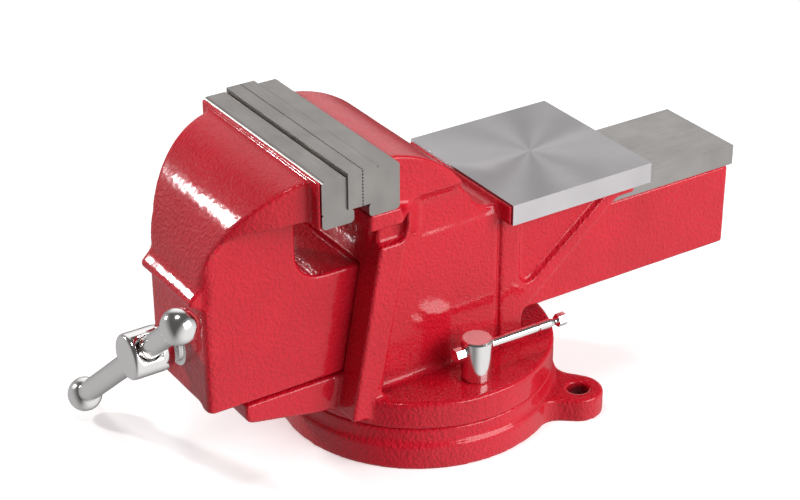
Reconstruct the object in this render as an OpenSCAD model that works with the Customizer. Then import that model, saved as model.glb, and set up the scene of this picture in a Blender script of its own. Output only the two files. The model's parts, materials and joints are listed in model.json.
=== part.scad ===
// Heavy duty bench vise with a swivel base, a rear anvil and a sliding jaw.
// X runs along the jaws, Y along the screw with its handle at -Y, Z is up.
// The origin is on the swivel axis, at the bench surface. The jaws are closed.

/* [Jaws] */
// Width of the jaw blocks
jaw_w = 150; // [146:1:154]
// Height of the jaw blocks' top above the bench
jaw_z = 230; // [228:1:232]
// Distance from the swivel axis to the plane where the jaws meet
jaw_reach = 90; // [88:1:92]
// Thickness of a gripping insert, front to back
insert_t = 10.5; // [9.5:0.5:11]
// Height of a gripping insert
insert_h = 25; // [24:1:26]
// How far an insert's top stands above its block
insert_proud = 2; // [1:0.5:3]
// Thickness of a jaw block behind its insert
block_t = 18; // [16:0.5:19]
// Height of a jaw block
block_h = 33; // [32:1:34]

/* [Slide] */
// Width of the sliding beam
beam_w = 76; // [74:1:78]
// Height of the beam's underside
beam_z0 = 65; // [64:1:66]
// Height of the beam's top
beam_z1 = 142; // [141:1:143]
// Front end of the beam, from the swivel axis
beam_front = 183.5; // [182:0.5:185]
// Rear end of the beam, from the swivel axis
beam_back = 246; // [240:1:250]
// Thickness of the beam's walls
beam_wall = 10; // [9:0.5:11]
// Thickness of the steel plate on the slide's rear end
slide_plate_t = 15; // [13:0.5:15]

/* [Anvil] */
// Width of the anvil plate
anvil_w = 123.5; // [118:0.5:126]
// Front edge of the anvil plate
anvil_y0 = 36; // [36:1:38]
// Rear edge of the anvil plate
anvil_y1 = 153; // [150:1:156]
// Height of the anvil's top
anvil_z = 164.5; // [162:0.5:166]
// Thickness of the anvil plate
anvil_t = 15; // [12:0.5:15]

/* [Screw] */
// Height of the screw's axis
screw_z = 102.5; // [102:0.5:103]
// Radius of the screw
screw_r = 12; // [11:0.5:12]
// Radius of the screw's head
head_r = 15.5; // [15:0.5:17]
// Radius of the handle bar
bar_r = 7.5; // [6.5:0.5:8]
// Radius of the balls on the handle
knob_r = 12; // [11:0.5:13]
// Angle of the handle above the horizontal
handle_tilt = 40.3; // [30:0.1:50]

/* [Base] */
// Radius of the turntable and of the base's wall
turn_r = 96; // [94:0.5:97]
// Radius of the base's bottom flange
flange_r = 98.5; // [97.5:0.5:100]
// Height of the base
base_h = 30; // [29:1:31]
// Height of the turntable's top
turn_z = 50; // [49:1:51]
// Distance of the bench bolt holes from the swivel axis
lug_pitch_r = 115; // [113:1:118]
// Radius of a bench bolt hole
lug_hole_r = 7.75; // [6.5:0.25:8.5]

/* [Hidden] */
$fn = 64;
fit = 0.3;
running = 0.05;
eps = 0.01;

// Jaw planes, all at -Y
meet_y = -jaw_reach;
front_insert_y = meet_y - insert_t;
front_block_y = front_insert_y - block_t;
rear_insert_y = meet_y + insert_t;
rear_block_y = rear_insert_y + block_t - 0.5;
insert_z1 = jaw_z + insert_proud;
insert_z0 = insert_z1 - insert_h;
block_z0 = jaw_z - block_h;
block_round = 3;
insert_w = jaw_w + 3;
lip_reach = 5;
lip_top = insert_z0 - 0.5;
block_screw_x = 52;
block_screw_z = insert_z0 + insert_h / 2 - 1;
insert_screw_x = 26;

// Moving jaw
hood_y = -110.5;
hood_z = 150.9;
hood_a = 73.9;
hood_b = 76.3;
hood_half_w = 63.4;
hood_plan_y = -114.8;
hood_plan_a = 79.3;
nose_back = -179;
wall_t = 2;
neck_back = -117;
neck_fillet = 20;
channel_half = beam_w / 2 - beam_wall;
channel_z = screw_z + 16.7;
slide_plate_y0 = 110;
slide_plate_y1 = beam_back + 4.5;
slide_plate_z0 = beam_z1 + 0.4 - slide_plate_t;
slide_screw_y = [150, 228];
slide_screw_x = 15;

// Fixed body
box_half = 48.5;
box_back = 34;
deck_z = 160;
shoulder_z = 152;
guide_half = beam_w / 2 + fit;
guide_z0 = beam_z0 - fit;
guide_z1 = beam_z1 + 0.4 + fit;
front_low = [-89.5, 37];
front_high = [-62.5, jaw_z - 45];
rib_depth = 20;
rib_half = 60;
rib_step_z = 162;
recess_back = -47;
ledge_half = jaw_w / 2;
ledge_z0 = jaw_z - 45;
ledge_front = -83.5;
ledge_back = -60;
ledge_z1 = 191;
rear_y = -70.6;
rear_z = 142.7;
rear_r = 83.5;
rear_slope = 36.5;
rear_fillet = 20;
cheek_half = 60.5;
cheek_z0 = 191.5;
throat_half = 46;
throat_z = 172;
tongue_front = -157;
tongue_top = 62.7;
web_foot_y = 56;
web_foot_z = 70;
pocket_depth = 4.5;
groove_w = 2.4;
groove_depth = 2.5;
stop_t = 2;
anvil_z0 = anvil_z - anvil_t;
anvil_screw_x = 24;
anvil_screw_y = [54, 136];
jaw_core_half = 35;

// Screw, nut and handle, along Y
head_front = -222.5;
head_back = -187;
hole_y = -210;
cross_hole_r = 9;
front_wall = 12;
collar_t = 10;
collar_r = 16;
screw_back = 176;
nut_y0 = -62;
nut_y1 = -22;
nut_r = 16.2;
nut_screw_y = [-52, -32];
nut_screw_r = 5;
upper_reach = 73;
lower_reach = 131.5;

// Swivel lock
lock_x = 73.5;
lock_head_r = 10.9;
lock_head_h = 31;
lock_shank_r = 6;
lock_bar_r = 3.2;
lock_nut_r = 4.7;
lock_bar_z = turn_z + 22.5;
slot_half = 8;
slot_floor = 9;
slot_lip = 21;
slot_out = 14.5;
spigot_r = 20;
spigot_z = 14.2;
pivot_r = 6;

red = "crimson";
steel = "silver";
dark = "dimgray";

// Points of an elliptic arc
function arc(cx, cy, rx, ry, a0, a1, n) =
    [for (i = [0:n]) let (a = a0 + (a1 - a0) * i / n) [cx + rx * cos(a), cy + ry * sin(a)]];

// Extrudes a side outline, drawn in Y and Z, along X over the width w
module across(w) {
    rotate([90, 0, 90]) translate([0, 0, -w / 2]) linear_extrude(w) children();
}

// A cylinder along Y from y0 to y1
module rod_y(x, z, y0, y1, r) {
    translate([x, y0, z]) rotate([-90, 0, 0]) cylinder(h = y1 - y0, r = r);
}

// A shape that is drawn for +X, and its mirror image
module both_sides() {
    children();
    mirror([1, 0, 0]) children();
}

// ---------------------------------------------------------------- swivel base

module base_ring() {
    rotate_extrude($fn = 128) polygon(concat(
        [[flange_r - 1.5, 0], [flange_r, 1.5]],
        arc(flange_r - 2.5, 15.5, 2.5, 2.5, 0, 90, 6),
        [[turn_r - 0.5, 18.6], [turn_r - 0.5, base_h - 1], [turn_r - 1.5, base_h]],
        [[lock_x + slot_half, base_h], [lock_x + slot_half, slot_lip],
         [lock_x + slot_out, slot_lip], [lock_x + slot_out, slot_floor],
         [lock_x - slot_out, slot_floor], [lock_x - slot_out, slot_lip],
         [lock_x - slot_half, slot_lip], [lock_x - slot_half, base_h],
         [spigot_r + running, base_h], [spigot_r + running, spigot_z - 0.2],
         [27, spigot_z - 0.2], [27, 0], [32, 0], [32, 20], [54, 20], [54, 0]]));
}

module lug_outline() {
    offset(r = -14) offset(r = 14) {
        circle(r = flange_r, $fn = 128);
        for (a = [45, 225]) rotate(a) hull() {
            translate([lug_pitch_r, 0]) circle(r = 17.5);
            translate([80, 0]) square([2, 44], center = true);
        }
    }
}

module swivel_base() {
    color(red) difference() {
        union() {
            base_ring();
            difference() {
                linear_extrude(17.5) lug_outline();
                translate([0, 0, -1]) cylinder(h = 20, r = turn_r - 3, $fn = 128);
            }
        }
        for (a = [45, 225]) rotate(a) translate([lug_pitch_r, 0, -1]) cylinder(h = 20, r = lug_hole_r);
    }
}

module pivot_washer() {
    color(steel) translate([0, 0, 10]) difference() {
        cylinder(h = 4, r = 26);
        translate([0, 0, -1]) cylinder(h = 6, r = pivot_r + 0.5);
    }
}

module pivot_bolt() {
    color(steel) union() {
        translate([0, 0, 2.5]) cylinder(h = 7.5, r = 10.4, $fn = 6);
        translate([0, 0, 2.5]) cylinder(h = 37.5, r = pivot_r);
    }
}

module clamp_nuts() {
    color(dark) both_sides() difference() {
        translate([lock_x, 0, 15]) cube([24, 30, 11], center = true);
        translate([lock_x, 0, 0]) cylinder(h = 30, r = lock_shank_r + running);
    }
}

// ----------------------------------------------------------------- fixed body

// Where the leaning front face stands at the height z
function front_at(z) = front_low[0]
    + (front_high[0] - front_low[0]) * (z - front_low[1]) / (front_high[1] - front_low[1]);

module turntable() {
    rotate_extrude($fn = 128) polygon(concat(
        [[0, spigot_z], [spigot_r - 1, spigot_z], [spigot_r, spigot_z + 1], [spigot_r, base_h],
         [turn_r - 1, base_h], [turn_r, base_h + 1]],
        arc(turn_r - 2, turn_z - 2, 2, 2, 0, 90, 6),
        [[0, turn_z]]));
}

module front_plate() {
    across(2 * rib_half) polygon([front_low, [front_low[0] + rib_depth, front_low[1]],
        [front_high[0] + rib_depth, front_high[1]], front_high]);
}

module guide_box() {
    foot_z = turn_z - 5;
    intersection() {
        rotate([90, 0, 0]) translate([0, 0, -box_back]) linear_extrude(150)
            polygon([[-box_half, foot_z], [box_half, foot_z], [box_half, shoulder_z],
                [throat_half + 0.2, deck_z - 2], [throat_half - 2, deck_z], [2 - throat_half, deck_z],
                [-throat_half - 0.2, deck_z - 2], [-box_half, shoulder_z]]);
        across(3 * box_half) polygon([[front_at(foot_z) + 2, foot_z - 1], [box_back + 1, foot_z - 1],
            [box_back + 1, deck_z + 1], [front_at(deck_z) + 2, deck_z + 1]]);
    }
}

// Side outline behind the rear block: a round back, a straight slope and a fillet into the deck
function rear_outline() =
    let (slope_y = rear_y + rear_r * cos(rear_slope),
         slope_z = rear_z + rear_r * sin(rear_slope),
         fillet_z = deck_z + rear_fillet * (1 - sin(rear_slope)),
         fillet_y = slope_y + (slope_z - fillet_z) * tan(rear_slope))
    concat(
        arc(rear_y, rear_z, rear_r, rear_r, acos((rear_block_y - rear_y) / rear_r), rear_slope, 20),
        arc(fillet_y + rear_fillet * cos(rear_slope), deck_z + rear_fillet, rear_fillet, rear_fillet,
            180 + rear_slope, 270, 8));

// Cross section of the rear jaw: cheeks over a narrower throat, with hollows under the cheeks
module jaw_section() {
    hollow = arc(cheek_half + 0.5, throat_z, cheek_half + 0.5 - throat_half, cheek_z0 - throat_z, 90, 180, 10);
    polygon(concat(
        [[-cheek_half, 240], [cheek_half, 240], [cheek_half, cheek_z0]], hollow,
        [[throat_half, deck_z - 9], [-throat_half, deck_z - 9]],
        [for (i = [len(hollow) - 1:-1:0]) [-hollow[i][0], hollow[i][1]]],
        [[-cheek_half, cheek_z0]]));
}

module rear_jaw() {
    intersection() {
        across(2 * cheek_half + 4) polygon(concat(
            [[box_back, deck_z], [box_back, deck_z - 12], [-68, deck_z - 12], [-68, block_z0 - 1],
             [rear_block_y, block_z0 - 1]],
            rear_outline()));
        rotate([90, 0, 0]) translate([0, 0, -50]) linear_extrude(130) jaw_section();
    }
}

module ledge() {
    translate([-ledge_half, ledge_front, ledge_z0])
        cube([2 * ledge_half, ledge_back - ledge_front, block_z0 - ledge_z0]);
    hull() {
        translate([-ledge_half, ledge_back - 1, ledge_z0]) cube([2 * ledge_half, 1, ledge_z1 - ledge_z0]);
        translate([-58, recess_back, rib_step_z + 1]) cube([116, 2, ledge_z0 - rib_step_z]);
        translate([-throat_half, -30, deck_z]) cube([2 * throat_half, 2, ledge_z0 - deck_z]);
    }
}

module tongue() {
    across(beam_w) polygon(concat(
        [[tongue_front, tongue_top]],
        arc(tongue_front + 6, 54, 6, 6, 180, 260, 6),
        [[-100, 38], [-60, 38], [-60, tongue_top]]));
}

module anvil_web() {
    translate([guide_half - 1 + box_half / 2 - guide_half / 2, 0, 0])
        across(box_half - guide_half + 2)
        polygon([[box_back - 5, turn_z - 5], [web_foot_y, turn_z - 5], [web_foot_y, web_foot_z],
            [anvil_y1 - 2.5, anvil_z0], [box_back - 5, anvil_z0]]);
}

module web_pocket() {
    translate([box_half, 0, 0]) across(2 * pocket_depth)
        polygon([[52, anvil_z0 + 1], [52, 99], [56, 93], [61, 91.5], [66, 94], [135, 149], [135, anvil_z0 + 1]]);
}

module fixed_body() {
    color(red) difference() {
        union() {
            turntable();
            front_plate();
            guide_box();
            rear_jaw();
            ledge();
            tongue();
            both_sides() anvil_web();
            translate([-box_half, box_back - 5, beam_z1 - 5])
                cube([2 * box_half, anvil_y1 - 2.5 - box_back + 5, anvil_z0 - beam_z1 + 5]);
            translate([1 - anvil_w / 2, anvil_y0 - stop_t, anvil_z0])
                cube([anvil_w - 2, stop_t, anvil_t - 1]);
            translate([-box_half, box_back - 5, anvil_z0 - 5]) cube([2 * box_half, 6, deck_z - anvil_z0]);
        }
        translate([-guide_half, -100, guide_z0])
            cube([2 * guide_half, 300, guide_z1 - guide_z0]);
        both_sides() translate([54, -100, rib_step_z])
            cube([30, 100 + recess_back, ledge_z0 - rib_step_z]);
        both_sides() translate([box_half - groove_depth, box_back, turn_z])
            cube([10, groove_w, anvil_z0 - turn_z]);
        both_sides() web_pocket();
        both_sides() translate([lock_x, 0, 0]) cylinder(h = 60, r = lock_shank_r + 0.4);
        translate([0, 0, 10]) cylinder(h = 30, r = pivot_r);
        for (y = nut_screw_y) translate([0, y, 0]) {
            cylinder(h = 70, r = nut_screw_r + 0.3);
            cylinder(h = turn_z - 6, r = 9);
        }
        across(2 * jaw_core_half) polygon([[-54, guide_z1 - 1], [-50, 180], [-46, 210], [-30, 210],
            [-14, 196], [2, 172], [10, 150], [10, guide_z1 - 1]]);
        translate([0, 0, base_h - 1]) difference() {
            cylinder(h = 12, r = 60);
            cylinder(h = 13, r = 24);
        }
        for (x = [-anvil_screw_x, anvil_screw_x], y = anvil_screw_y) translate([x, y, guide_z1 - eps]) {
            cylinder(h = 10, r = 4.3);
            cylinder(h = 4, r1 = 8, r2 = 4.3);
        }
        for (x = [-block_screw_x, block_screw_x])
            rod_y(x, block_screw_z, rear_block_y - 1, rear_block_y + 16, 4);
    }
}

module anvil_plate() {
    color(steel) difference() {
        translate([-anvil_w / 2, anvil_y0, anvil_z0]) cube([anvil_w, anvil_y1 - anvil_y0, anvil_t]);
        for (x = [-anvil_screw_x, anvil_screw_x], y = anvil_screw_y)
            translate([x, y, anvil_z0 - 1]) cylinder(h = 11, r = 4);
    }
}

module anvil_screws() {
    color(dark) for (x = [-anvil_screw_x, anvil_screw_x], y = anvil_screw_y) translate([x, y, guide_z1]) {
        cylinder(h = 4, r1 = 7.9, r2 = 4.2);
        cylinder(h = anvil_z0 + 9.5 - guide_z1, r = 4);
    }
}

// ----------------------------------------------------------- jaw blocks and inserts

// Side outline of an L-shaped jaw block that faces +Y, with its face at y = 0
module block_outline(t) {
    offset(r = block_round) offset(delta = -block_round) union() {
        translate([-t, block_z0]) square([t, block_h]);
        translate([-t, block_z0]) square([t + lip_reach, lip_top - block_z0]);
    }
}

module block_screw_holes(t) {
    for (x = [-block_screw_x, block_screw_x]) {
        rod_y(x, block_screw_z, -t - 1, 1, 4.5);
        rod_y(x, block_screw_z, -9, 1, 7);
    }
    for (x = [-insert_screw_x, insert_screw_x]) rod_y(x, block_screw_z, -12, 1, 3);
}

module front_jaw_block() {
    color(steel) translate([0, front_insert_y, 0]) difference() {
        across(jaw_w) block_outline(block_t);
        block_screw_holes(block_t);
        translate([0, -block_t, insert_z0]) rotate([0, 90, 0])
            cylinder(h = jaw_w + 2, r = 0.8, center = true, $fn = 24);
    }
}

module rear_jaw_block() {
    color(steel) translate([0, rear_insert_y, 0]) rotate(180) difference() {
        across(jaw_w) block_outline(block_t - 0.5);
        block_screw_holes(block_t);
    }
}

// Two cap screws through a block that faces +Y
module cap_screws() {
    for (x = [-block_screw_x, block_screw_x]) {
        rod_y(x, block_screw_z, -block_t - 14, -8.5, 4);
        difference() {
            rod_y(x, block_screw_z, -9, -1, 6.5);
            translate([x, -5, block_screw_z]) rotate([-90, 30, 0]) cylinder(h = 5, r = 3.4, $fn = 6);
        }
    }
}

module front_block_screws() {
    color(dark) translate([0, front_insert_y, 0]) cap_screws();
}

module rear_block_screws() {
    color(dark) translate([0, rear_insert_y, 0]) rotate(180) cap_screws();
}

// A gripping insert with its back at y = 0 and its serrated face at +Y
module gripping_insert() {
    difference() {
        translate([-insert_w / 2, 0, insert_z0]) cube([insert_w, insert_t, insert_h]);
        for (x = [-insert_screw_x, insert_screw_x]) {
            rod_y(x, block_screw_z, -1, insert_t + 1, 3.2);
            rod_y(x, block_screw_z, insert_t - 6.5, insert_t + 1, 5.3);
        }
    }
}

module front_jaw_insert() {
    color(steel) translate([0, front_insert_y, 0]) gripping_insert();
}

module rear_jaw_insert() {
    color(steel) translate([0, rear_insert_y, 0]) rotate(180) gripping_insert();
}

module insert_screw_pair() {
    for (x = [-insert_screw_x, insert_screw_x]) difference() {
        union() {
            rod_y(x, block_screw_z, -11, insert_t - 6, 3);
            rod_y(x, block_screw_z, insert_t - 6.5, insert_t - 1, 5);
        }
        translate([x, insert_t - 4, block_screw_z]) rotate([-90, 30, 0]) cylinder(h = 5, r = 2.9, $fn = 6);
    }
}

module front_insert_screws() {
    color(dark) translate([0, front_insert_y, 0]) insert_screw_pair();
}

module rear_insert_screws() {
    color(dark) translate([0, rear_insert_y, 0]) rotate(180) insert_screw_pair();
}

// ----------------------------------------------------------------- moving jaw

function hood_top(y) = hood_z + hood_b * sqrt(1 - pow((y - hood_y) / hood_a, 2));

module hood() {
    under_y = -147;
    under_z = 160;
    under_r = 37;
    intersection() {
        across(2 * hood_half_w + 2) polygon(concat(
            [[front_block_y, under_z + under_r + 2.5]],
            arc(under_y, under_z, under_r, under_r, 90, acos((nose_back - under_y) / under_r), 12),
            [[nose_back, beam_z1 - 2], [hood_y - hood_a, beam_z1 - 2]],
            arc(hood_y, hood_z, hood_a, hood_b, 180, 97, 28),
            [[front_block_y, hood_top(front_block_y)]]));
        translate([0, 0, beam_z1 - 3]) linear_extrude(100)
            polygon(arc(0, hood_plan_y, hood_half_w, hood_plan_a, 180, 360, 48));
    }
}

module seat_wall() {
    across(jaw_w - 2) polygon([[front_block_y, block_z0], [front_block_y - wall_t, block_z0 + 1],
        [front_block_y - wall_t, jaw_z - 2.5], [front_block_y, jaw_z - 0.7]]);
}

// The neck fills the hood's nose out to a box with round corners
module neck() {
    nose_round = 8;
    inset = 0.3;
    intersection() {
        across(beam_w) polygon(concat(
            [[hood_y - hood_a + inset, beam_z1 - 5]],
            arc(hood_y, hood_z, hood_a - inset, hood_b - inset, 180, 155, 8),
            [[-172, 190], [-160, 197], [-145, 203], [front_block_y, 205],
             [front_block_y, block_z0 - fit], [neck_back, block_z0 - fit]],
            arc(neck_back + neck_fillet, beam_z1 + neck_fillet, neck_fillet, neck_fillet, 180, 270, 10),
            [[neck_back + neck_fillet, beam_z1 - 5]]));
        translate([0, 0, beam_z1 - 10]) linear_extrude(100) polygon(concat(
            [[beam_w / 2, -60], [-beam_w / 2, -60]],
            arc(nose_round - beam_w / 2, nose_round - beam_front, nose_round, nose_round, 180, 270, 8),
            arc(beam_w / 2 - nose_round, nose_round - beam_front, nose_round, nose_round, 270, 360, 8)));
    }
}

module lip() {
    across(68) polygon([[-180, 160], [-183.5, 156], [-187, 152.5], [-190.5, 149], [-191.3, 147],
        [-191, 145.5], [-188, 143], [-180, 141]]);
}

module beam() {
    difference() {
        translate([0, 0, beam_z0]) linear_extrude(beam_z1 - beam_z0) polygon(concat(
            [[beam_w / 2, beam_back], [-beam_w / 2, beam_back]],
            arc(4 - beam_w / 2, 4 - beam_front, 4, 4, 180, 270, 6),
            arc(beam_w / 2 - 4, 4 - beam_front, 4, 4, 270, 360, 6)));
        translate([-channel_half, front_wall - beam_front, beam_z0 - 1])
            cube([2 * channel_half, beam_back + beam_front, channel_z - beam_z0 + 1]);
        translate([-channel_half, -beam_front - 1, beam_z0 - 1]) cube([2 * channel_half, 20, 4]);
        translate([-beam_w, slide_plate_y0, slide_plate_z0]) cube([2 * beam_w, 200, 30]);
    }
}

module moving_jaw() {
    color(red) difference() {
        union() {
            hood();
            seat_wall();
            neck();
            lip();
            beam();
        }
        across(2 * channel_half) polygon([[front_wall - beam_front, channel_z - 5],
            [front_wall - beam_front, 168], [-155, 182], [-145, 182], [-131, 168], [-131, channel_z - 5]]);
        rod_y(0, screw_z, -beam_front - 5, front_wall - beam_front + 1, screw_r + running);
        for (x = [-block_screw_x, block_screw_x])
            rod_y(x, block_screw_z, front_block_y - 15, front_block_y + 1, 4);
        for (x = [-slide_screw_x, slide_screw_x], y = slide_screw_y)
            translate([x, y, channel_z - 1]) cylinder(h = 20, r = 4.3);
    }
}

module slide_plate() {
    color(steel) difference() {
        translate([0.6 - beam_w / 2, slide_plate_y0, slide_plate_z0])
            cube([beam_w - 1.2, slide_plate_y1 - slide_plate_y0, slide_plate_t]);
        for (x = [-slide_screw_x, slide_screw_x], y = slide_screw_y)
            translate([x, y, slide_plate_z0 - 1]) cylinder(h = 10, r = 4);
    }
}

module slide_plate_screws() {
    color(dark) for (x = [-slide_screw_x, slide_screw_x], y = slide_screw_y) translate([x, y, channel_z]) {
        translate([0, 0, -5]) cylinder(h = 5, r = 7.5, $fn = 6);
        cylinder(h = slide_plate_z0 + 8 - channel_z, r = 4);
    }
}

// ------------------------------------------------------------ screw, nut and handle

module lead_screw() {
    color(steel) difference() {
        translate([0, 0, screw_z]) rotate([-90, 0, 0]) rotate_extrude() polygon(concat(
            [[0, head_front], [head_r - 3, head_front]],
            arc(head_r - 3, head_front + 3, 3, 3, -90, 0, 6),
            arc(head_r - 10, head_back - 14, 10, 13, 0, 60, 8),
            [[screw_r, head_back], [screw_r, screw_back - 2], [screw_r - 2, screw_back], [0, screw_back]]));
        translate([0, hole_y, screw_z]) rotate([0, 90 - handle_tilt, 0])
            cylinder(h = 4 * head_r, r = cross_hole_r, center = true);
        translate([0, front_wall - beam_front + collar_t / 2, screw_z]) rotate([0, 90, 0])
            cylinder(h = 60, r = 2.5, center = true);
    }
}

module thrust_washer() {
    color(steel) difference() {
        rod_y(0, screw_z, head_back, -beam_front, head_r);
        rod_y(0, screw_z, head_back - 1, 1 - beam_front, screw_r + 0.2);
    }
}

module retaining_collar() {
    color(dark) difference() {
        rod_y(0, screw_z, front_wall - beam_front, front_wall - beam_front + collar_t, collar_r);
        rod_y(0, screw_z, front_wall - beam_front - 1, front_wall - beam_front + collar_t + 1, screw_r + 0.02);
        translate([0, front_wall - beam_front + collar_t / 2, screw_z]) rotate([0, 90, 0])
            cylinder(h = 60, r = 2.5, center = true);
    }
}

module collar_pin() {
    color(dark) translate([0, front_wall - beam_front + collar_t / 2, screw_z]) rotate([0, 90, 0])
        cylinder(h = 2 * collar_r, r = 2.5, center = true);
}

module main_nut() {
    color(dark) difference() {
        union() {
            rod_y(0, screw_z, nut_y0, nut_y1, nut_r);
            translate([-nut_r, nut_y0, guide_z0]) cube([2 * nut_r, nut_y1 - nut_y0, screw_z - guide_z0]);
            translate([-22, nut_y0, guide_z0]) cube([44, nut_y1 - nut_y0, 9]);
        }
        rod_y(0, screw_z, nut_y0 - 1, nut_y1 + 1, screw_r + running);
        for (y = nut_screw_y) translate([0, y, guide_z0 - 1]) cylinder(h = 20, r = nut_screw_r);
    }
}

module nut_screws() {
    color(dark) for (y = nut_screw_y) difference() {
        translate([0, y, 0]) union() {
            translate([0, 0, turn_z - 16]) cylinder(h = 10, r = 8);
            translate([0, 0, turn_z - 7]) cylinder(h = guide_z0 + 18 - turn_z + 7, r = nut_screw_r);
        }
        translate([0, y, turn_z - 17]) cylinder(h = 6, r = 4.6, $fn = 6);
    }
}

// Places its children at the handle, with Z along the bar and the screw's axis at 0
module on_handle() {
    translate([0, hole_y, screw_z]) rotate([0, 90 - handle_tilt, 0]) children();
}

module handle_bar() {
    color(steel) on_handle() translate([0, 0, 6 - lower_reach])
        cylinder(h = lower_reach + upper_reach - 12, r = bar_r);
}

module knob(z) {
    difference() {
        translate([0, 0, z]) sphere(r = knob_r);
        translate([0, 0, 6 - lower_reach]) cylinder(h = lower_reach + upper_reach - 12, r = bar_r);
    }
}

module handle_knob_upper() {
    color(steel) on_handle() knob(upper_reach);
}

module handle_knob_lower() {
    color(steel) on_handle() knob(-lower_reach);
}

// ------------------------------------------------------------------- swivel lock

module lock_bolt() {
    translate([lock_x, 0, 0]) difference() {
        union() {
            rotate_extrude() polygon(concat(
                [[0, turn_z], [lock_head_r - 1.5, turn_z], [lock_head_r - 0.6, turn_z + 1.5]],
                [[lock_head_r, turn_z + lock_head_h - 1.2], [lock_head_r - 1.2, turn_z + lock_head_h]],
                [[0, turn_z + lock_head_h]]));
            translate([0, 0, 10.5]) cylinder(h = turn_z - 9.5, r = lock_shank_r);
        }
        translate([0, 0, lock_bar_z]) rotate([90, 0, 0]) cylinder(h = 40, r = lock_bar_r + 0.15, center = true);
    }
}

module lock_bolt_right() {
    color(steel) lock_bolt();
}

module lock_bolt_left() {
    color(steel) mirror([1, 0, 0]) lock_bolt();
}

module lock_bar() {
    translate([lock_x, 0, lock_bar_z]) rotate([-90, 0, 0]) {
        translate([0, 0, -18]) cylinder(h = 6.5, r = lock_nut_r, $fn = 6);
        rotate_extrude() polygon([[0, -12], [lock_bar_r, -12], [lock_bar_r, 49], [lock_bar_r - 0.6, 49.4],
            [lock_bar_r - 0.6, 50.6], [lock_bar_r, 51], [lock_bar_r, 60], [1.9, 64.5], [1.9, 72], [0, 72]]);
    }
}

module lock_bar_right() {
    color(steel) lock_bar();
}

module lock_bar_left() {
    color(steel) mirror([1, 0, 0]) lock_bar();
}

module lock_tip() {
    translate([lock_x, 0, lock_bar_z]) rotate([-90, 0, 0]) difference() {
        translate([0, 0, 66.5]) cylinder(h = 6.5, r = lock_nut_r, $fn = 6);
        translate([0, 0, 60]) cylinder(h = 12, r = 1.9);
    }
}

module lock_tip_right() {
    color(steel) lock_tip();
}

module lock_tip_left() {
    color(steel) mirror([1, 0, 0]) lock_tip();
}

swivel_base();
fixed_body();
moving_jaw();
front_jaw_block();
rear_jaw_block();
front_jaw_insert();
rear_jaw_insert();
front_block_screws();
rear_block_screws();
front_insert_screws();
rear_insert_screws();
anvil_plate();
anvil_screws();
slide_plate();
slide_plate_screws();
lead_screw();
thrust_washer();
retaining_collar();
collar_pin();
main_nut();
nut_screws();
handle_bar();
handle_knob_upper();
handle_knob_lower();
lock_bolt_right();
lock_bolt_left();
lock_bar_right();
lock_bar_left();
lock_tip_right();
lock_tip_left();
clamp_nuts();
pivot_bolt();
pivot_washer();
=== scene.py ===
"""A heavy duty bench vise: cast shapes, materials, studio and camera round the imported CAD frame."""

import json
import math

import bpy
import numpy as np
import openvdb as vdb
from mathutils import Matrix, Vector


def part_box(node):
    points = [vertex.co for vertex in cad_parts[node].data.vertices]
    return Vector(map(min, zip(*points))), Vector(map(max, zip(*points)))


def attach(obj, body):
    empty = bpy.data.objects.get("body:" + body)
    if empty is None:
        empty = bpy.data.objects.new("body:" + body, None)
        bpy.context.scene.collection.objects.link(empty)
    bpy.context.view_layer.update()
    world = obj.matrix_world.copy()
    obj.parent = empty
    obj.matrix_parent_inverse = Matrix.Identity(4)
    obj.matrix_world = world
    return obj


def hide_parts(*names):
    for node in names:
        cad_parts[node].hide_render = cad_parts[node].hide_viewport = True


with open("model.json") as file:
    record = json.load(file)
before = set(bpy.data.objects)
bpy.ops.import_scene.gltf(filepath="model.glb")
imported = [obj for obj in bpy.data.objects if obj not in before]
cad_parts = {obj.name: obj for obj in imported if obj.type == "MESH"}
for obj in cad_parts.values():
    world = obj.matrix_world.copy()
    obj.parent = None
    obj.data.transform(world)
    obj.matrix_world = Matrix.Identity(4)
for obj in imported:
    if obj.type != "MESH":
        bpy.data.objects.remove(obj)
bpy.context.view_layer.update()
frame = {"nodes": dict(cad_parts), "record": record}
nodes = frame["nodes"]
scene = bpy.context.scene

MM = 0.001


def node_box(name):
    """Lowest and highest corner of a CAD node, in millimetres."""
    low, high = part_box(name)
    return np.array(low) / MM, np.array(high) / MM


# ------------------------------------------------------------------ node helpers

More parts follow.
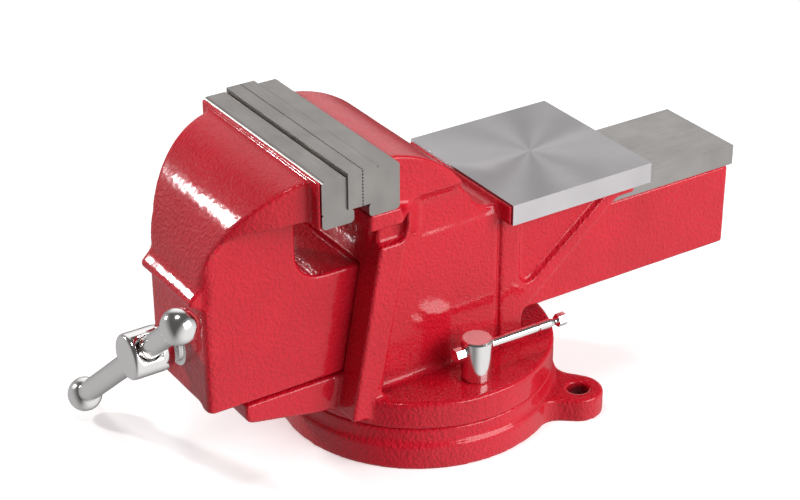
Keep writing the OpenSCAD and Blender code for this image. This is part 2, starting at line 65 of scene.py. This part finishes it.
class Maker:
    """Builds a material's node tree with short calls."""

    def __init__(self, name):
        self.material = bpy.data.materials.new(name)
        self.material.use_nodes = True
        self.tree = self.material.node_tree
        self.shader = self.tree.nodes["Principled BSDF"]
        self.position = self.add("ShaderNodeTexCoord").outputs["Object"]
        self.height = None

    def add(self, kind, **settings):
        made = self.tree.nodes.new(kind)
        for key, value in settings.items():
            setattr(made, key, value)
        return made

    def link(self, source, target):
        self.tree.links.new(source, target)

    def put(self, socket, value):
        """Sets a socket from a number, a colour or another socket."""
        if isinstance(value, bpy.types.NodeSocket):
            self.link(value, socket)
        else:
            socket.default_value = value

    def set(self, **values):
        """Sets the shader's own sockets; an underscore in a name stands for a space."""
        for key, value in values.items():
            self.put(self.shader.inputs[key.replace("_", " ")], value)

    def math(self, operation, a, b=0.0, clamp=False):
        made = self.add("ShaderNodeMath", operation=operation, use_clamp=clamp)
        self.put(made.inputs[0], a)
        self.put(made.inputs[1], b)
        return made.outputs[0]

    def stretched(self, scale):
        made = self.add("ShaderNodeMapping")
        made.inputs["Scale"].default_value = scale
        self.link(self.position, made.inputs["Vector"])
        return made.outputs[0]

    def noise(self, size_mm, detail=2.0, roughness=0.5, where=None):
        """Noise whose features are about size_mm wide."""
        made = self.add("ShaderNodeTexNoise")
        made.inputs["Scale"].default_value = 1 / (size_mm * MM)
        made.inputs["Detail"].default_value = detail
        made.inputs["Roughness"].default_value = roughness
        self.link(where or self.position, made.inputs["Vector"])
        return made.outputs["Fac"]

    def ramp(self, source, *stops):
        """A colour ramp; each stop is (position, grey or colour)."""
        made = self.add("ShaderNodeValToRGB")
        elements = made.color_ramp.elements
        while len(elements) < len(stops):
            elements.new(0.5)
        for element, (at, value) in zip(elements, stops):
            element.position = at
            colour = value if isinstance(value, tuple) else (value,) * 3
            element.color = (*colour, 1)
        self.link(source, made.inputs["Fac"])
        return made.outputs["Color"]

    def mix(self, share, a, b):
        """A colour between a and b."""
        made = self.add("ShaderNodeMix", data_type="RGBA")
        colours = [s for s in made.inputs if s.type == "RGBA"]
        self.put(made.inputs["Factor"], share)
        for socket, value in zip(colours, (a, b)):
            self.put(socket, (*value, 1) if isinstance(value, tuple) else value)
        return next(s for s in made.outputs if s.type == "RGBA")

    def bump(self, height, depth_mm, strength=1.0):
        """Adds a bump of that depth on top of those made before."""
        made = self.add("ShaderNodeBump")
        made.inputs["Strength"].default_value = strength
        made.inputs["Distance"].default_value = depth_mm * MM
        self.link(height, made.inputs["Height"])
        if self.height:
            self.link(self.height, made.inputs["Normal"])
        self.height = made.outputs["Normal"]
        self.link(self.height, self.shader.inputs["Normal"])

    def hollows(self, reach_mm, low, high):
        """A mask for painted shade: near 0 deep in the piece's own narrow hollows and 1 on open
        faces.
        """
        made = self.add("ShaderNodeAmbientOcclusion", samples=8, only_local=True)
        made.inputs["Distance"].default_value = reach_mm * MM
        return self.ramp(made.outputs["AO"], (low, 0.0), (high, 1.0))


# ---------------------------------------------------------------------- materials

def red_enamel():
    """Glossy red enamel over a rough casting: orange peel, with shade painted into its hollows, where
    the colour goes dark and the coat thins.
    """
    m = Maker("red_enamel")
    broad = m.noise(60, 3)
    colour = m.ramp(broad, (0.3, (0.52, 0.0045, 0.016)), (0.7, (0.63, 0.0065, 0.024)))
    hollow_shade_mask = m.hollows(24, 0.22, 0.70)
    # Painted shade: the colour goes nearly black deep in the piece's own hollows.
    m.set(Base_Color=m.mix(hollow_shade_mask, (0.05, 0.0, 0.003), colour), Metallic=0.0, IOR=1.45)
    m.set(Roughness=m.ramp(m.noise(14, 4), (0.35, 0.36), (0.7, 0.50)))
    # Painted shade: the coat thins in the hollows, so that they reflect less.
    m.set(Coat_Weight=m.math("MULTIPLY", hollow_shade_mask, 0.62), Coat_Roughness=0.12, Coat_IOR=1.5)
    m.set(Specular_IOR_Level=0.12)
    m.bump(m.noise(9, 2), 0.30, 0.5)
    m.bump(m.noise(2.2, 2, 0.5), 1.6, 1.0)
    return m.material


def ground_steel(name, tint, across):
    """Ground steel with fine lines and shade painted into its narrow hollows; across is the noise's
    stretch along each axis.
    """
    m = Maker(name)
    lines = m.noise(1.0, 4, 0.65, where=m.stretched(across))
    cloud = m.noise(25, 3)
    dark = tuple(0.82 * c for c in tint)
    colour = m.mix(m.ramp(cloud, (0.3, 0.0), (0.7, 1.0)), dark, tint)
    # Painted shade: the colour goes nearly black in the narrow hollows, such as the valleys between
    # the teeth.
    m.set(Base_Color=m.mix(m.hollows(2.5, 0.3, 0.8), (0.02, 0.02, 0.02), colour))
    m.set(Metallic=1.0, Roughness=m.ramp(lines, (0.3, 0.36), (0.7, 0.50)))
    m.bump(lines, 0.03, 0.6)
    return m.material


def faced_steel(centre_mm):
    """The anvil's plate: faced on a mill, so its marks are rings round its middle."""
    m = Maker("faced_steel")
    moved = m.add("ShaderNodeVectorMath", operation="SUBTRACT")
    m.link(m.position, moved.inputs[0])
    moved.inputs[1].default_value = [c * MM for c in centre_mm]
    rings = m.add("ShaderNodeTexWave", wave_type="RINGS", rings_direction="Z")
    rings.inputs["Scale"].default_value = 230
    rings.inputs["Distortion"].default_value = 1.0
    rings.inputs["Detail"].default_value = 2.0
    m.link(moved.outputs[0], rings.inputs["Vector"])
    cloud = m.noise(30, 3)
    m.set(Base_Color=m.mix(cloud, (0.39, 0.375, 0.385), (0.48, 0.46, 0.47)))
    m.set(Metallic=1.0, Roughness=0.45, Anisotropic=0.80, Anisotropic_Rotation=0.25)
    tangent = m.add("ShaderNodeTangent", direction_type="RADIAL", axis="Z")
    m.link(tangent.outputs[0], m.shader.inputs["Tangent"])
    m.bump(rings.outputs["Fac"], 0.012, 0.5)
    return m.material


def polished_steel():
    """Plated steel, bright with faint polishing marks and smudges, and with shade painted into its
    hollows.
    """
    m = Maker("polished_steel")
    smudge = m.noise(18, 4)
    # Painted shade: the colour goes dark in the piece's own hollows.
    m.set(Base_Color=m.mix(m.hollows(14, 0.1, 0.6), (0.05, 0.05, 0.05), (0.84, 0.82, 0.81)))
    m.set(Metallic=1.0, Roughness=m.ramp(smudge, (0.35, 0.10), (0.75, 0.20)))
    m.bump(m.noise(6, 2), 0.05, 0.3)
    return m.material


def dark_steel(name, colour, rough):
    """Black oxide or raw iron."""
    m = Maker(name)
    m.set(Base_Color=m.mix(m.noise(5, 3), colour, tuple(1.6 * c for c in colour)))
    m.set(Metallic=0.8, Roughness=rough)
    m.bump(m.noise(1.2, 3), 0.06, 0.5)
    return m.material


anvil_low, anvil_high = node_box("anvil_plate")
materials = {
    "red_enamel": red_enamel(),
    "jaw_steel": ground_steel("jaw_steel", (0.33, 0.31, 0.295), (0.05, 1, 1)),
    "anvil_steel": faced_steel((anvil_low + anvil_high) / 2),
    "slide_steel": ground_steel("slide_steel", (0.41, 0.39, 0.375), (1, 0.04, 1)),
    "polished_steel": polished_steel(),
    "black_screws": dark_steel("black_screws", (0.03, 0.03, 0.032), 0.45),
    "raw_iron": dark_steel("raw_iron", (0.16, 0.15, 0.14), 0.55),
}
for part in frame["record"]["subparts"]:
    node = nodes[part["node"]]
    node.data.materials.clear()
    node.data.materials.append(materials[part["material_slot"]])

# ------------------------------------------------------------------- steel edges

def ease_edges(node, width_mm):
    """Rounds a CAD node's sharp edges a little, so that they catch the light."""
    weld = nodes[node].modifiers.new("weld", "WELD")
    weld.merge_threshold = 1e-6
    bevel = nodes[node].modifiers.new("bevel", "BEVEL")
    bevel.width = width_mm * MM
    bevel.segments = 2
    bevel.limit_method = "ANGLE"
    bevel.angle_limit = math.radians(35)
    bevel.use_clamp_overlap = True
    normals = nodes[node].modifiers.new("normals", "WEIGHTED_NORMAL")
    normals.keep_sharp = False


EDGE_WIDTHS = {"front_jaw_block": 0.7, "rear_jaw_block": 0.7, "anvil_plate": 0.5,
               "slide_plate": 0.5}
for node, width in EDGE_WIDTHS.items():
    ease_edges(node, width)

# ------------------------------------------------------------- serrated gripping inserts

TOOTH = 2.3
TOOTH_DEPTH = 0.75


def serrated_insert(node, body, face):
    """An insert whose gripping face, towards face in Y, is cut into small pyramids."""
    low, high = node_box(node)
    across = np.linspace(low[0], high[0], 2 * round((high[0] - low[0]) / TOOTH) + 1)
    up = np.linspace(low[2], high[2], 2 * round((high[2] - low[2]) / TOOTH) + 1)
    x, z = np.meshgrid(across, up, indexing="ij")
    rows, columns = np.indices(x.shape)
    valley = (rows + columns) % 2
    front = high[1] if face > 0 else low[1]
    back = low[1] if face > 0 else high[1]
    grid = np.stack([x, front - face * TOOTH_DEPTH * valley, z], -1).reshape(-1, 3)
    backs = np.array([[a, back, b] for a in (low[0], high[0]) for b in (low[2], high[2])])
    index = np.arange(len(grid)).reshape(x.shape)
    first = len(grid)
    tips = []
    for a, b, c, d, lean in zip(index[:-1, :-1].flat, index[1:, :-1].flat, index[1:, 1:].flat,
                                index[:-1, 1:].flat, valley[:-1, :-1].flat):
        tips += [(a, b, d), (b, c, d)] if lean else [(a, b, c), (a, c, d)]
    rims = [[*index[:, 0], first + 2, first], [*index[::-1, -1], first + 1, first + 3],
            [*index[0, ::-1], first, first + 1], [*index[-1, :], first + 3, first + 2],
            [first, first + 2, first + 3, first + 1]]
    faces = [tuple(int(i) for i in f) for f in tips + rims]
    if face < 0:
        faces = [f[::-1] for f in faces]
    mesh = bpy.data.meshes.new(node + "_serrated")
    mesh.from_pydata((np.vstack([grid, backs]) * MM).tolist(), [], faces)
    mesh.materials.append(materials["jaw_steel"])
    piece = bpy.data.objects.new(node + "_serrated", mesh)
    scene.collection.objects.link(piece)
    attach(piece, body)
    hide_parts(node)
    return piece


def drilled(piece, holes):
    """Cuts holes along Y; each is (x, z, y from, y to, radius) in millimetres."""
    for number, (x, z, y0, y1, radius) in enumerate(holes):
        turns = np.arange(48) * math.tau / 48
        ring = np.stack([x + radius * np.cos(turns), 0 * turns, z + radius * np.sin(turns)], -1)
        ends = np.vstack([ring + (0, y0, 0), ring + (0, y1, 0)]) * MM
        sides = [(i, (i + 1) % 48, 48 + (i + 1) % 48, 48 + i) for i in range(48)]
        mesh = bpy.data.meshes.new(piece.name + "_drill")
        mesh.from_pydata(ends.tolist(), [], sides + [tuple(range(47, -1, -1)), tuple(range(48, 96))])
        drill = bpy.data.objects.new(f"{piece.name}_drill_{number}", mesh)
        scene.collection.objects.link(drill)
        cut = piece.modifiers.new(f"hole_{number}", "BOOLEAN")
        cut.operation = "DIFFERENCE"
        cut.solver = "EXACT"
        cut.object = drill
        bake(piece)
        bpy.data.objects.remove(drill)


def bake(piece):
    """Replaces a piece's mesh by the one that its modifiers make."""
    shown = bpy.context.evaluated_depsgraph_get()
    made = bpy.data.meshes.new_from_object(piece.evaluated_get(shown))
    piece.modifiers.clear()
    piece.data = made


INSERT_SCREW_X = 26
INSERT_SCREW_Z = 218.5
for node, body, face in (("front_jaw_insert", "jaw", 1), ("rear_jaw_insert", "frame", -1)):
    insert = serrated_insert(node, body, face)
    low, high = node_box(node)
    front = high[1] if face > 0 else low[1]
    back = low[1] if face > 0 else high[1]
    drilled(insert, [(x, INSERT_SCREW_Z, *sorted((front + face, front - face * depth)), radius)
                     for x in (-INSERT_SCREW_X, INSERT_SCREW_X)
                     for depth, radius in ((6.5, 5.3), (12, 3.2))])

# ------------------------------------------------------------------------ lead screw

PITCH = 5.0
THREAD_DEPTH = 2.2
SHANK_RADIUS = 12.0
THREAD_FROM = -100.0
THREAD_TO = 160.0
STEPS_A_TURN = 30


def cut_thread():
    """Cuts a trapezoidal thread's groove into the lead screw's shank."""
    low, high = node_box("thrust_washer")
    centre_z = (low[2] + high[2]) / 2
    count = round((THREAD_TO - THREAD_FROM) / PITCH * STEPS_A_TURN)
    turn = np.arange(count + 1) * math.tau / STEPS_A_TURN
    along = THREAD_FROM + turn / math.tau * PITCH
    depth = THREAD_DEPTH * np.clip(np.minimum(turn, turn[::-1]) / math.tau, 0.02, 1)
    outer, root = SHANK_RADIUS + 0.5 + 0 * turn, SHANK_RADIUS - depth
    corners = []
    for radius, side in ((outer, -1.7), (outer, 1.7), (root, 0.9), (root, -0.9)):
        corners.append(np.stack([radius * np.cos(turn), along + side,
                                 centre_z + radius * np.sin(turn)], -1))
    points = np.stack(corners, 1).reshape(-1, 3) * MM
    faces = [(4 * i + j, 4 * i + (j + 1) % 4, 4 * i + 4 + (j + 1) % 4, 4 * i + 4 + j)
             for i in range(count) for j in range(4)]
    faces += [(3, 2, 1, 0), tuple(4 * count + j for j in range(4))]
    mesh = bpy.data.meshes.new("thread_groove")
    mesh.from_pydata(points.tolist(), [], faces)
    groove = bpy.data.objects.new("thread_groove", mesh)
    scene.collection.objects.link(groove)
    screw = bpy.data.objects.new("lead_screw_threaded", nodes["lead_screw"].data.copy())
    scene.collection.objects.link(screw)
    weld = screw.modifiers.new("weld", "WELD")
    weld.merge_threshold = 1e-6
    cut = screw.modifiers.new("thread", "BOOLEAN")
    cut.operation = "DIFFERENCE"
    cut.solver = "EXACT"
    cut.object = groove
    bake(screw)
    bpy.data.objects.remove(groove)
    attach(screw, "screw")
    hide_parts("lead_screw")


cut_thread()

# -------------------------------------------------------------------- cast shapes


def welded(node):
    """The points, in millimetres, and the triangles of a CAD node as one closed mesh."""
    mesh = nodes[node].data
    points = np.empty(len(mesh.vertices) * 3, np.float64)
    mesh.vertices.foreach_get("co", points)
    points = points.reshape(-1, 3) / MM
    mesh.calc_loop_triangles()
    triangles = np.empty(len(mesh.loop_triangles) * 3, np.int64)
    mesh.loop_triangles.foreach_get("vertices", triangles)
    keys, first, where = np.unique(
        np.round(points, 3), axis=0, return_index=True, return_inverse=True)
    triangles = where.reshape(-1)[triangles].reshape(-1, 3)
    whole = (triangles[:, 0] != triangles[:, 1]) & (triangles[:, 1] != triangles[:, 2])
    whole &= triangles[:, 2] != triangles[:, 0]
    return points[first].astype(np.float32), triangles[whole].astype(np.uint32)


VOXEL = 1.0
BAND = 3.0
NO_TRIANGLES = np.zeros((0, 3), np.uint32)
NO_QUADS = np.zeros((0, 4), np.uint32)


def level_set(points, triangles, quads, outside=0.0, inside=0.0):
    """A distance field round a closed mesh, kept BAND and a further reach from its surface."""
    return vdb.FloatGrid.createLevelSetFromPolygons(
        np.ascontiguousarray(points, np.float32),
        triangles=np.ascontiguousarray(triangles, np.uint32),
        quads=np.ascontiguousarray(quads, np.uint32),
        transform=vdb.createLinearTransform(voxelSize=VOXEL),
        exBandWidth=(outside + BAND) / VOXEL, inBandWidth=(inside + BAND) / VOXEL)


class Field:
    """Signed distances in millimetres on a dense grid round a CAD node."""

    def __init__(self, node):
        low, high = node_box(node)
        self.first = np.floor(low / VOXEL).astype(int) - 8
        self.last = np.ceil(high / VOXEL).astype(int) + 8
        lines = [np.arange(a, b) * VOXEL for a, b in zip(self.first, self.last)]
        self.x, self.y, self.z = np.meshgrid(*lines, indexing="ij", sparse=True)
        self.values = None

    def read(self, grid, shift):
        """Takes a level set's distances, measured from its surface moved out by shift."""
        self.values = np.empty(self.last - self.first, np.float32)
        grid.copyToArray(self.values, ijk=tuple(int(i) for i in self.first))
        self.values -= shift

    def box(self, low, high):
        gaps = [np.maximum(a - line, line - b)
                for a, b, line in zip(low, high, (self.x, self.y, self.z))]
        away = np.sqrt(sum(np.maximum(g, 0) ** 2 for g in gaps))
        return away + np.minimum(np.maximum(np.maximum(gaps[0], gaps[1]), gaps[2]), 0)

    def mesh(self, at):
        """The surface where the distance is at, as points and quads."""
        grid = vdb.FloatGrid(2 * BAND)
        grid.copyFromArray(np.minimum(self.values, 2 * BAND).astype(np.float32),
                           ijk=tuple(int(i) for i in self.first))
        grid.transform = vdb.createLinearTransform(voxelSize=VOXEL)
        return grid.convertToQuads(isovalue=at)


def cast_piece(node, body, fillet, edge, cuts=(), walls=()):
    """A casting's visible shape: filleted hollows, rounded edges, then cuts and thin walls."""
    points, triangles = welded(node)
    field = Field(node)
    grid = level_set(points, triangles, NO_QUADS, outside=fillet)
    points, quads = grid.convertToQuads(isovalue=fillet)
    field.read(level_set(points, NO_TRIANGLES, quads, inside=fillet), -fillet)
    for low, high in cuts:
        field.values = np.maximum(field.values, -field.box(low, high))
    points, quads = field.mesh(-edge)
    field.read(level_set(points, NO_TRIANGLES, quads, outside=edge), edge)
    for low, high in walls:
        field.values = np.minimum(field.values, field.box(low, high))
    points, quads = field.mesh(0)
    mesh = bpy.data.meshes.new(node + "_casting")
    mesh.from_pydata((points * MM).tolist(), [], quads[:, ::-1].tolist())
    mesh.shade_smooth()
    mesh.materials.append(materials["red_enamel"])
    piece = bpy.data.objects.new(node + "_casting", mesh)
    scene.collection.objects.link(piece)
    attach(piece, body)
    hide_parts(node)
    roughen(piece)
    bake(piece)
    keep_inside(piece, node)
    return piece


def keep_inside(piece, node):
    """Pulls points that stand outside the CAD node's box back onto it."""
    low, high = node_box(node)
    points = np.empty(len(piece.data.vertices) * 3, np.float32)
    piece.data.vertices.foreach_get("co", points)
    inside = np.clip(points.reshape(-1, 3), low * MM, high * MM)
    piece.data.vertices.foreach_set("co", inside.reshape(-1))
    piece.data.update()


def roughen(piece):
    """Eases the edges, then pushes the surface in by up to 0.3 mm, as sand leaves it."""
    ease = piece.modifiers.new("ease", "SMOOTH")
    ease.factor = 0.5
    ease.iterations = 4
    for name, size_mm, depth_mm in (("swell", 16, 0.22), ("grit", 3.5, 0.10)):
        texture = bpy.data.textures.new(piece.name + "_" + name, "CLOUDS")
        texture.noise_scale = size_mm * MM
        texture.noise_depth = 1
        displace = piece.modifiers.new(name, "DISPLACE")
        displace.texture = texture
        displace.texture_coords = "LOCAL"
        displace.mid_level = 1.0
        displace.strength = depth_mm * MM


GUIDE = ((-38.3, -120, 64.7), (38.3, 220, 142.7))
PLATE_RELIEF = ((-39.3, -46, 134), (39.3, 220, 143.3))
GROOVES = [((46, 34, 50), (60, 36.4, 149.5)), ((-60, 34, 50), (-46, 36.4, 149.5))]
SEAT_WALL = ((-74, -120.5, 197.5), (74, -118.5, 229.3))
ANVIL_STOP = ((-60.5, 34.2, 149.5), (60.5, 36, 163.4))

cast_piece("moving_jaw", "jaw", 3.5, 0.8, walls=[SEAT_WALL])
cast_piece("fixed_body", "frame", 3.5, 0.8, cuts=[GUIDE, PLATE_RELIEF] + GROOVES, walls=[ANVIL_STOP])
cast_piece("swivel_base", "base", 3.0, 0.8)

# ------------------------------------------------------------------------- studio

AIM = Vector((-0.0465, 0.0167, 0.0878))
AZIMUTH, ELEVATION, ROLL = (math.radians(a) for a in (57.05, 28.67, -0.21))
DISTANCE = 1.4595
LENS = 92.15


def add_camera():
    """The camera, placed round the point it looks at."""
    data = bpy.data.cameras.new("camera")
    data.lens = LENS
    data.sensor_width = 36
    camera = bpy.data.objects.new("camera", data)
    scene.collection.objects.link(camera)
    right = Vector((math.cos(AZIMUTH), math.sin(AZIMUTH), 0))
    back = Vector((math.sin(AZIMUTH) * math.cos(ELEVATION),
                   -math.cos(AZIMUTH) * math.cos(ELEVATION), math.sin(ELEVATION)))
    up = back.cross(right)
    axes = Matrix((right, up, back)).transposed() @ Matrix.Rotation(ROLL, 3, "Z")
    camera.matrix_world = Matrix.Translation(AIM + back * DISTANCE) @ axes.to_4x4()
    scene.camera = camera


def soft_box(name, azimuth, elevation, distance, size, watts):
    """An area light that looks at the vise's middle from a direction like the camera's."""
    a, e = math.radians(azimuth), math.radians(elevation)
    back = Vector((math.sin(a) * math.cos(e), -math.cos(a) * math.cos(e), math.sin(e)))
    data = bpy.data.lights.new(name, "AREA")
    data.shape = "RECTANGLE"
    data.size, data.size_y = size
    data.energy = watts
    light = bpy.data.objects.new(name, data)
    light.location = Vector((0, 0, 0.1)) + back * distance
    light.rotation_mode = "QUATERNION"
    light.rotation_quaternion = (-back).to_track_quat("-Z", "Y")
    scene.collection.objects.link(light)


def add_world():
    """A dim room with bright places: low right, low front left and high back left."""
    world = bpy.data.worlds.new("studio")
    scene.world = world
    world.use_nodes = True
    tree = world.node_tree
    where = tree.nodes.new("ShaderNodeTexCoord").outputs["Generated"]
    total = 0.10
    for direction, first, last, strength in (((0.75, 0.50, -0.43), 0.1, 0.95, 0.85),
                                             ((-0.60, -0.64, -0.48), 0.2, 0.95, 0.42),
                                             ((-0.74, 0.48, 0.48), 0.76, 1.0, 1.05)):
        dot = tree.nodes.new("ShaderNodeVectorMath")
        dot.operation = "DOT_PRODUCT"
        tree.links.new(where, dot.inputs[0])
        dot.inputs[1].default_value = direction
        spread = tree.nodes.new("ShaderNodeMapRange")
        spread.interpolation_type = "SMOOTHSTEP"
        spread.inputs["From Min"].default_value = first
        spread.inputs["From Max"].default_value = last
        spread.inputs["To Max"].default_value = strength
        tree.links.new(dot.outputs["Value"], spread.inputs["Value"])
        add = tree.nodes.new("ShaderNodeMath")
        add.operation = "ADD"
        tree.links.new(spread.outputs["Result"], add.inputs[0])
        if isinstance(total, float):
            add.inputs[1].default_value = total
        else:
            tree.links.new(total, add.inputs[1])
        total = add.outputs[0]
    tree.links.new(total, tree.nodes["Background"].inputs["Strength"])
    tree.nodes["Background"].inputs["Color"].default_value = (1, 1, 1, 1)


def add_floor():
    """A pale floor. It takes the vise's shadow but sends no light back to it."""
    mesh = bpy.data.meshes.new("floor")
    reach = 6.0
    mesh.from_pydata([(-reach, -reach, 0), (reach, -reach, 0), (reach, reach, 0),
                      (-reach, reach, 0)], [], [(0, 1, 2, 3)])
    floor = bpy.data.objects.new("floor", mesh)
    m = Maker("floor")
    m.set(Base_Color=m.ramp(m.noise(400, 2), (0.4, 0.93), (0.6, 0.95)), Roughness=0.8)
    m.set(Specular_IOR_Level=0.0, Emission_Color=(1, 1, 1, 1), Emission_Strength=0.35)
    mesh.materials.append(m.material)
    scene.collection.objects.link(floor)
    floor.visible_diffuse = False
    floor.visible_glossy = False


add_camera()
add_world()
add_floor()
soft_box("key", 114, 25, 1.5, (1.2, 0.8), 20)
soft_box("top", 10, 75, 1.6, (0.3, 0.3), 6)
soft_box("left", -50, 24, 1.6, (0.14, 0.14), 12)
scene.view_settings.view_transform = "Standard"
